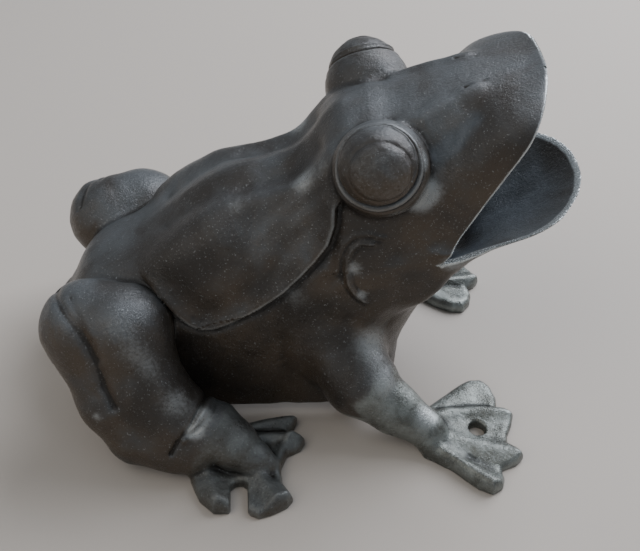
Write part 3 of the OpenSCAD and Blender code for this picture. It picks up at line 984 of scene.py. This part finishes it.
def region_mesh(made, code, side):
    """The closed surface of one region: side 0 gives both halves, 1 the left and -1 the right."""
    quads = made["quads"][made["owners"] == code]
    used, flat = np.unique(quads, return_inverse=True)
    quads = flat.reshape(-1, 4)
    keep = (quads[:, 0] != quads[:, 2]) & (quads[:, 1] != quads[:, 3])
    quads = quads[keep]
    place = made["place"][used].copy()
    normal = made["normal"][used].copy()
    masks = {m: made[m][used] for m in MASKS}
    flip = np.array([1, -1, 1], np.float32)
    if side < 0:
        place, normal, quads = place * flip, normal * flip, quads[:, ::-1]
    if side == 0:
        middle = made["middle"][used]
        twin = np.arange(len(used))
        twin[~middle] = len(used) + np.arange((~middle).sum())
        place = np.concatenate([place, place[~middle] * flip])
        normal = np.concatenate([normal, normal[~middle] * flip])
        masks = {m: np.concatenate([v, v[~middle]]) for m, v in masks.items()}
        quads = np.concatenate([quads, twin[quads][:, ::-1]])
    outer = made["outer"][used]
    if side == 0:
        outer = np.concatenate([outer, outer[~middle]])
    triangles = split_quads(place, quads, outer)
    place[:, 0] += AHEAD
    return place, triangles, masks, normal


def put_in_place(name, slot, place, triangles, masks, normal):
    """Makes a piece of a finished mesh, gives it its iron and puts it in its node's stead."""
    piece = new_mesh(name + "_iron", place, triangles, masks, normal)
    piece.data.materials.append(iron(slot))
    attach(piece, BODY)
    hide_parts(name)


EYEBALL_ROWS = 90
EYEBALL_TURNS = 192
EYEBALL_ARC = 12.5
EYEBALL_BACK = 3.0
PUPIL_AHEAD, PUPIL_UP, PUPIL_RADIUS = 1.6, 2.4, 6.2


def eyeball(name, side, slot):
    """The eyeball and its raised pupil, as a profile turned round the eye's axis.

    Rows run over arc c from the axis. The radius is the socket's, plus a dome, plus a step
    where the pupil's own rounded outline, set up and ahead of the middle, is crossed. Past the
    lid's groove the rows turn in to a point at the socket's middle, so the ball is closed.
    """
    c = np.linspace(0, EYEBALL_ARC, EYEBALL_ROWS)
    turn = np.linspace(0, 2 * math.pi, EYEBALL_TURNS, endpoint=False)
    c, turn = np.meshgrid(c, turn, indexing="ij")
    ahead_part, up_part = c * np.cos(turn), c * np.sin(turn)
    dome = 2.6 * (1 - (c / 12.0) ** 2)
    rim = -2.2 * ease((c - 11.3) / 1.2)
    away = np.hypot((ahead_part - PUPIL_AHEAD) / 1.12, up_part - PUPIL_UP) - PUPIL_RADIUS
    pupil = 0.35 * ease(0.5 - away / 1.8) - 0.22 * bell(away - 0.8, 0.5)
    lash = 0.4 * bell(c - 10.4, 0.4) * ease(0.5 - 0.9 * np.sin(turn - 0.5))
    wave = 0.08 * np.sin(ahead_part * 1.1 + 0.5) * np.sin(up_part * 1.3)
    r = EYE_RADIUS + dome + rim + pupil + lash + wave
    axis, ahead, up = eye_frame()
    angle = c / EYE_RADIUS
    spread = np.sin(angle)[..., None] * (np.cos(turn)[..., None] * ahead + np.sin(turn)[..., None] * up)
    place = np.array(EYE_MIDDLE) + r[..., None] * (np.cos(angle)[..., None] * axis + spread)
    place = place[1:].reshape(-1, 3)
    tip = np.array(EYE_MIDDLE) + r[0, 0] * axis
    back = np.array(EYE_MIDDLE) + EYEBALL_BACK * axis
    rows = EYEBALL_ROWS - 1
    i, j = np.meshgrid(np.arange(rows - 1), np.arange(EYEBALL_TURNS), indexing="ij")
    k = (j + 1) % EYEBALL_TURNS
    a, b = i * EYEBALL_TURNS, (i + 1) * EYEBALL_TURNS
    quads = np.stack([a + j, b + j, b + k, a + k], -1).reshape(-1, 4)
    j = np.arange(EYEBALL_TURNS)
    k = (j + 1) % EYEBALL_TURNS
    top, bottom = len(place), len(place) + 1
    edge = (rows - 1) * EYEBALL_TURNS
    caps = np.concatenate([
        np.stack([np.full_like(j, top), j, k], -1),
        np.stack([np.full_like(j, bottom), edge + k, edge + j], -1),
    ])
    place = np.concatenate([place, [tip, back]])
    triangles = np.concatenate([quads[:, [0, 1, 2]], quads[:, [0, 2, 3]], caps])
    # A painted highlight on the raised pupil and the eye's tip, carried into the wear by the bend and
    # rubbed masks
    painted_eye_highlight = np.concatenate([(pupil + 0.3)[1:].ravel(), [0.8, 0]])
    wear = rubbed_and_highlit_at(tuple(place.T))
    masks = {mask: np.zeros(len(place)) for mask in MASKS}
    masks["bend"] = 0.12 * painted_eye_highlight
    masks["rubbed"] = np.clip(wear + 0.4 * painted_eye_highlight, 0, 1)
    place[:, 0] += AHEAD
    if side < 0:
        place[:, 1] *= -1
        triangles = triangles[:, ::-1]
    put_in_place(name, slot, place, triangles, masks, None)


# ---------------------------------------------------------------- finishes

def linear(colour_hex):
    """sRGB hex to linear: c / 12.92 under 0.04045, else ((c + 0.055) / 1.055) to the 2.4."""
    channels = [int(colour_hex[i:i + 2], 16) / 255 for i in (1, 3, 5)]
    return [c / 12.92 if c <= 0.04045 else ((c + 0.055) / 1.055) ** 2.4 for c in channels] + [1.0]


def node(tree, kind, settings, inputs, output=None):
    """Adds one node, sets its properties, fills or links its inputs, and gives back an output.

    inputs fill the open sockets in order, or by name when they are a dictionary. The output is
    the first open one unless it is named.
    """
    made = tree.nodes.new(kind)
    for key, value in settings.items():
        setattr(made, key, value)
    sockets = [socket for socket in made.inputs if socket.enabled]
    if isinstance(inputs, dict):
        sockets = [made.inputs[key] for key in inputs]
        inputs = inputs.values()
    for socket, value in zip(sockets, inputs):
        if isinstance(value, bpy.types.NodeSocket):
            tree.links.new(value, socket)
        else:
            socket.default_value = value
    if output:
        return made.outputs[output]
    return next((socket for socket in made.outputs if socket.enabled), None)


# Kinds of node with their settings
ADD = ("ShaderNodeMath", {"operation": "ADD"})
MULTIPLY = ("ShaderNodeMath", {"operation": "MULTIPLY"})
MULTIPLY_ADD = ("ShaderNodeMath", {"operation": "MULTIPLY_ADD"})
GREATER = ("ShaderNodeMath", {"operation": "MAXIMUM"})
RAMP = ("ShaderNodeMapRange", {"interpolation_type": "SMOOTHSTEP", "clamp": True})
BLEND = ("ShaderNodeMix", {"data_type": "RGBA"})

# Patterns in the iron: (name, size in mm, detail, roughness, distortion). Moulding sand is about
# 0.3 mm, too fine to show, so the grit and the specks are drawn two or three times as coarse.
GRAINS = [
    ("slow", 22, 3, 0.5, 0.6), ("cloud", 7, 4, 0.6, 0.4), ("grit", 0.9, 6, 0.72, 0),
    ("speck", 0.55, 3, 0.6, 0), ("rust", 1.6, 5, 0.7, 0), ("pit", 2.6, 3, 0.55, 0),
]
LACUNARITY = 2.0
# Where the finish wears: (mask, pattern, the pattern's share, start, end, most)
WEAR = [
    ("bend", "grit", 0.5, 0.45, 1.25, 0.32), ("rubbed", "grit", 0.8, 0.55, 1.45, 0.62),
    ("rim", "cloud", 0.5, 0.62, 0.95, 1.0),
]
IRON_NAMES = {
    "patina_iron": "sand cast iron, oil finish",
    "mouth_iron": "sand cast iron, mouth",
    "bare_iron": "sand cast iron, rubbed bare",
}
# The first and third colours are painted shade for the creases, of the finish and of the bare iron
PAINTED_CREASE_SHADE, RUST, PAINTED_BARE_SHADE, BRIGHT_IRON = "#1d1a17", "#4a3220", "#1c1e1e", "#b4b9ba"
MOUTH_DARK, MOUTH_PALE, BARE_DARK = "#3a4249", "#596169", "#5a5c58"
PIT_DEPTH = 0.45 * MM


def iron(slot):
    """Sand cast iron under an old dark oil finish, rubbed through to bare metal on its high places.

    It is dull and faintly grainy where the finish holds and browner on the flanks, with a painted
    sheen where it faces up and painted shade in its creases, and bright and smoother where the metal
    shows. It is made once for each slot.
    """
    name = IRON_NAMES[slot]
    if name in bpy.data.materials:
        return bpy.data.materials[name]
    chosen = bpy.context.scene.frog_finish
    material = bpy.data.materials.new(name)
    material.use_nodes = True
    tree = material.node_tree
    tree.nodes.clear()
    place = node(tree, "ShaderNodeTexCoord", {}, [], "Object")
    grain = {}
    for key, size_mm, detail, rough, bent in GRAINS:
        values = [place, 1 / (size_mm * MM), detail, rough, LACUNARITY, bent]
        grain[key] = node(tree, "ShaderNodeTexNoise", {}, values)
    mask = {m: node(tree, "ShaderNodeAttribute", {"attribute_name": m}, [], "Fac") for m in MASKS}
    facing = node(tree, "ShaderNodeNewGeometry", {}, [], "Normal")
    up = node(tree, "ShaderNodeSeparateXYZ", {}, [facing], "Z")

    # The oil finish, with a painted bluish sheen where it faces up and painted shade in its creases,
    # and the same inside the mouth, where it is cold and grey
    share = node(tree, *RAMP, [node(tree, *ADD, [up, grain["cloud"]]), 0.55, 1.35])
    finish = node(tree, *BLEND, [share, linear(chosen.brown), linear(chosen.painted_top_sheen)])
    share = node(tree, *RAMP, [grain["slow"], 0.35, 0.7])
    finish = node(tree, *BLEND, [share, finish, linear(chosen.dark)])
    # Painted shade: the creases of the finish are darkened nearly to black
    crease_shade = node(tree, *RAMP, [mask["bend"], -0.03, -0.28])
    share = node(tree, *MULTIPLY, [crease_shade, 0.9])
    finish = node(tree, *BLEND, [share, finish, linear(PAINTED_CREASE_SHADE)])
    share = node(tree, *RAMP, [grain["rust"], 0.62, 0.75, 0, 0.35])
    finish = node(tree, *BLEND, [share, finish, linear(RUST)])
    share = node(tree, *RAMP, [grain["cloud"], 0.3, 0.75])
    mouth = node(tree, *BLEND, [share, linear(MOUTH_DARK), linear(MOUTH_PALE)])
    finish = node(tree, *BLEND, [mask["inside"], finish, mouth])

    # Wear, with the painted highlights that the rubbed mask carries: the greatest of the masks' own and
    # of the fine flecks, less of it inside the mouth
    worn = node(tree, *RAMP, [grain["speck"], 0.61, 0.7, 0, 0.35])
    for key, pattern, share, start, end, most in WEAR:
        level = node(tree, *MULTIPLY_ADD, [grain[pattern], share, mask[key]])
        level = node(tree, *RAMP, [level, start, end, 0, most])
        worn = node(tree, *GREATER, [worn, level])
    outside = node(tree, *MULTIPLY_ADD, [mask["inside"], -0.6, 1])
    worn = node(tree, *MULTIPLY, [worn, outside])
    level = node(tree, *MULTIPLY_ADD, [grain["grit"], 0.5, mask["bare"]])
    bare_share = node(tree, *RAMP, [level, 0.55, 1.1])

    share = node(tree, *RAMP, [grain["cloud"], 0.3, 0.7])
    bare = node(tree, *BLEND, [share, linear(BARE_DARK), linear(chosen.bare)])
    # Painted shade in the creases of the bare iron
    share = node(tree, *MULTIPLY, [crease_shade, 0.85])
    bare = node(tree, *BLEND, [share, bare, linear(PAINTED_BARE_SHADE)])
    colour = node(tree, *BLEND, [bare_share, finish, bare])
    colour = node(tree, *BLEND, [worn, colour, linear(BRIGHT_IRON)])

    # The sand's grain, and gloss and metal where the finish is gone
    height = node(tree, *MULTIPLY, [grain["pit"], 0.5])
    height = node(tree, *MULTIPLY_ADD, [grain["grit"], 0.6, height])
    height = node(tree, *MULTIPLY_ADD, [grain["speck"], 0.3, height])
    values = {"Strength": chosen.grain, "Distance": PIT_DEPTH, "Height": height}
    bump = node(tree, "ShaderNodeBump", {}, values)
    rough = node(tree, *ADD, [grain["grit"], grain["cloud"]])
    rough = node(tree, *RAMP, [rough, 0.6, 1.4, 0.25, 0.43])
    shine = node(tree, *GREATER, [worn, node(tree, *MULTIPLY, [bare_share, 0.6])])
    rough = node(tree, *MULTIPLY_ADD, [shine, -0.08, rough])
    metal = node(tree, *MULTIPLY_ADD, [node(tree, *GREATER, [worn, bare_share]), 0.5, 0.25])
    values = {"Base Color": colour, "Roughness": rough, "Metallic": metal, "Normal": bump}
    values["Specular IOR Level"] = 0.5
    shader = node(tree, "ShaderNodeBsdfPrincipled", {}, values)
    node(tree, "ShaderNodeOutputMaterial", {}, {"Surface": shader})
    return material


# ---------------------------------------------------------------- settings

class FrogCastingSettings(bpy.types.PropertyGroup):
    """Sizes of the casting."""
    cell: bpy.props.FloatProperty(
        name="Mesh cell", description="Size of the lattice cells that the surface is worked out on",
        default=0.55 * MM, min=0.3 * MM, max=2 * MM, unit="LENGTH", precision=5)
    wall: bpy.props.FloatProperty(
        name="Wall", description="Thickness of the iron",
        default=3.6 * MM, min=2.8 * MM, max=4.6 * MM, unit="LENGTH", precision=5)


class FrogFinishSettings(bpy.types.PropertyGroup):
    """Colours and grain of the iron."""
    dark: bpy.props.StringProperty(
        name="Dark finish", description="sRGB hex of the old oil finish", default="#322e2a")
    brown: bpy.props.StringProperty(
        name="Brown finish", description="sRGB hex of the finish on the flanks", default="#4c4237")
    # The colour of the painted sheen on surfaces that face up
    painted_top_sheen: bpy.props.StringProperty(
        name="Upper finish", description="sRGB hex of the finish where it faces up", default="#505457")
    bare: bpy.props.StringProperty(
        name="Bare iron", description="sRGB hex of iron with its finish gone", default="#878c89")
    grain: bpy.props.FloatProperty(
        name="Grain", description="Strength of the sand grain",
        default=0.8, min=0, max=1, subtype="FACTOR")


class FrogStageSettings(bpy.types.PropertyGroup):
    """The floor, the lights and the camera."""
    floor: bpy.props.StringProperty(
        name="Floor", description="sRGB hex of the floor", default="#bab3ab")
    lens: bpy.props.FloatProperty(
        name="Lens", description="Focal length on a 36 mm sensor",
        default=56.25, min=20, max=200, unit="CAMERA")
    key: bpy.props.FloatProperty(
        name="Key light", description="Power of the large window light",
        default=12.0, min=0, unit="POWER")


def place_regions(names, slot):
    """Makes the pieces of some regions; a paired region gives a left and a right one."""
    made = finished_net(bpy.context.scene.frog_casting)
    for region in names:
        sides = {region: 0}
        if region in PAIRED_REGIONS:
            sides = {"left_" + region: 1, "right_" + region: -1}
        for name, side in sides.items():
            put_in_place(name, slot, *region_mesh(made, CODE[region], side))


class FROG_OT_trunk(bpy.types.Operator):
    """Build the back, belly and chest of the hollow body."""
    bl_idname = "frog.trunk"
    bl_label = "Trunk"

    def execute(self, context):
        place_regions(["back_shell", "belly_shell", "chest_shell"], "patina_iron")
        return {"FINISHED"}


class FROG_OT_head(bpy.types.Operator):
    """Build the upper jaw with the skull, the eyelids and the ear discs."""
    bl_idname = "frog.head"
    bl_label = "Head"

    def execute(self, context):
        place_regions(["upper_jaw", "eyelid", "ear_disc"], "patina_iron")
        return {"FINISHED"}


class FROG_OT_lower_jaw(bpy.types.Operator):
    """Build the shallow bowl of the lower jaw."""
    bl_idname = "frog.lower_jaw"
    bl_label = "Lower jaw"

    def execute(self, context):
        place_regions(["lower_jaw"], "mouth_iron")
        return {"FINISHED"}


class FROG_OT_eyes(bpy.types.Operator):
    """Build the two eyeballs."""
    bl_idname = "frog.eyes"
    bl_label = "Eyes"

    def execute(self, context):
        eyeball("left_eye", 1, "patina_iron")
        eyeball("right_eye", -1, "patina_iron")
        return {"FINISHED"}


class FROG_OT_legs(bpy.types.Operator):
    """Build the front legs and both lobes of the folded hind legs."""
    bl_idname = "frog.legs"
    bl_label = "Legs"

    def execute(self, context):
        place_regions(["front_leg", "thigh", "shin"], "patina_iron")
        return {"FINISHED"}


class FROG_OT_feet(bpy.types.Operator):
    """Build the four webbed feet."""
    bl_idname = "frog.feet"
    bl_label = "Feet"

    def execute(self, context):
        place_regions(["front_foot", "hind_foot"], "bare_iron")
        return {"FINISHED"}


# ---------------------------------------------------------------- stage

CAMERA_PLACE = (-6.72, -240.15, 220.91)
CAMERA_TURN = math.radians(-2.1)
CAMERA_RISE = math.radians(38.2)
CAMERA_ROLL = math.radians(0.4)
FLOOR_HALF = 1.6


def aim_camera(lens):
    """A camera at the frog's right side, above it, turned by azimuth, elevation and roll."""
    data = bpy.data.cameras.new("camera")
    data.lens = lens
    data.sensor_width = 36
    data.clip_start = 0.01
    camera = bpy.data.objects.new("camera", data)
    bpy.context.scene.collection.objects.link(camera)
    camera.location = [(CAMERA_PLACE[0] + AHEAD) * MM, CAMERA_PLACE[1] * MM, CAMERA_PLACE[2] * MM]
    camera.rotation_mode = "XYZ"
    camera.rotation_euler = (math.pi / 2 - CAMERA_RISE, CAMERA_ROLL, CAMERA_TURN)
    bpy.context.scene.camera = camera


def area_light(name, place, target, size, power, colour):
    """A soft square lamp at a place, turned to a target."""
    data = bpy.data.lights.new(name, "AREA")
    data.shape = "RECTANGLE"
    data.size, data.size_y = size
    data.energy = power
    data.color = linear(colour)[:3]
    lamp = bpy.data.objects.new(name, data)
    bpy.context.scene.collection.objects.link(lamp)
    lamp.location = place
    way = [t - c for t, c in zip(target, place)]
    flat = math.hypot(way[0], way[1])
    lamp.rotation_euler = (math.atan2(flat, -way[2]), 0, math.atan2(-way[0], way[1]))
    return lamp


class FROG_OT_stage(bpy.types.Operator):
    """Lay the pale floor, hang the soft lights and set the camera."""
    bl_idname = "frog.stage"
    bl_label = "Stage"

    def execute(self, context):
        settings = context.scene.frog_stage
        corner = np.array([[-1, -1], [1, -1], [1, 1], [-1, 1]]) * FLOOR_HALF / MM
        place = np.column_stack([corner, np.full(4, -0.05)])
        floor = new_mesh("floor", place, np.array([[0, 1, 2, 3]]), {}, None, smooth=False)
        paint = bpy.data.materials.new("matt painted board")
        paint.use_nodes = True
        shader = paint.node_tree.nodes["Principled BSDF"]
        shader.inputs["Base Color"].default_value = linear(settings.floor)
        shader.inputs["Roughness"].default_value = 0.75
        floor.data.materials.append(paint)

        middle = (0, 0, 0.05)
        area_light("window light", (0.50, 0.42, 0.62), middle, (0.75, 0.75), settings.key, "#f4f7ff")
        area_light("room light", (-0.55, -0.35, 0.75), middle, (0.9, 0.9), settings.key * 0.22, "#fff2e2")
        world = bpy.data.worlds.new("room")
        world.use_nodes = True
        world.node_tree.nodes["Background"].inputs["Color"].default_value = linear("#cfd6de")
        world.node_tree.nodes["Background"].inputs["Strength"].default_value = 0.55
        context.scene.world = world
        aim_camera(settings.lens)
        return {"FINISHED"}


class FROG_PT_panel(bpy.types.Panel):
    """The frog's pieces and settings."""
    bl_label = "Cast Iron Game Frog"
    bl_idname = "FROG_PT_panel"
    bl_space_type = "VIEW_3D"
    bl_region_type = "UI"
    bl_category = "Frog"

    def draw(self, context):
        layout = self.layout
        for group in (context.scene.frog_casting, context.scene.frog_finish, context.scene.frog_stage):
            box = layout.box()
            for key in group.__annotations__:
                box.prop(group, key)
        for piece in PIECES:
            layout.operator(piece.bl_idname)


PIECES = (
    FROG_OT_stage, FROG_OT_trunk, FROG_OT_head, FROG_OT_lower_jaw,
    FROG_OT_eyes, FROG_OT_legs, FROG_OT_feet,
)
SETTINGS = {
    "frog_casting": FrogCastingSettings,
    "frog_finish": FrogFinishSettings,
    "frog_stage": FrogStageSettings,
}


def register():
    for group in SETTINGS.values():
        bpy.utils.register_class(group)
    for piece in PIECES:
        bpy.utils.register_class(piece)
    bpy.utils.register_class(FROG_PT_panel)
    for name, group in SETTINGS.items():
        setattr(bpy.types.Scene, name, bpy.props.PointerProperty(type=group))


def unregister():
    for name in SETTINGS:
        delattr(bpy.types.Scene, name)
    bpy.utils.unregister_class(FROG_PT_panel)
    for piece in reversed(PIECES):
        bpy.utils.unregister_class(piece)
    for group in SETTINGS.values():
        bpy.utils.unregister_class(group)


def main():
    register()
    bpy.ops.frog.stage()
    bpy.ops.frog.trunk()
    bpy.ops.frog.head()
    bpy.ops.frog.lower_jaw()
    bpy.ops.frog.eyes()
    bpy.ops.frog.legs()
    bpy.ops.frog.feet()


if __name__ == "__main__":
    main()
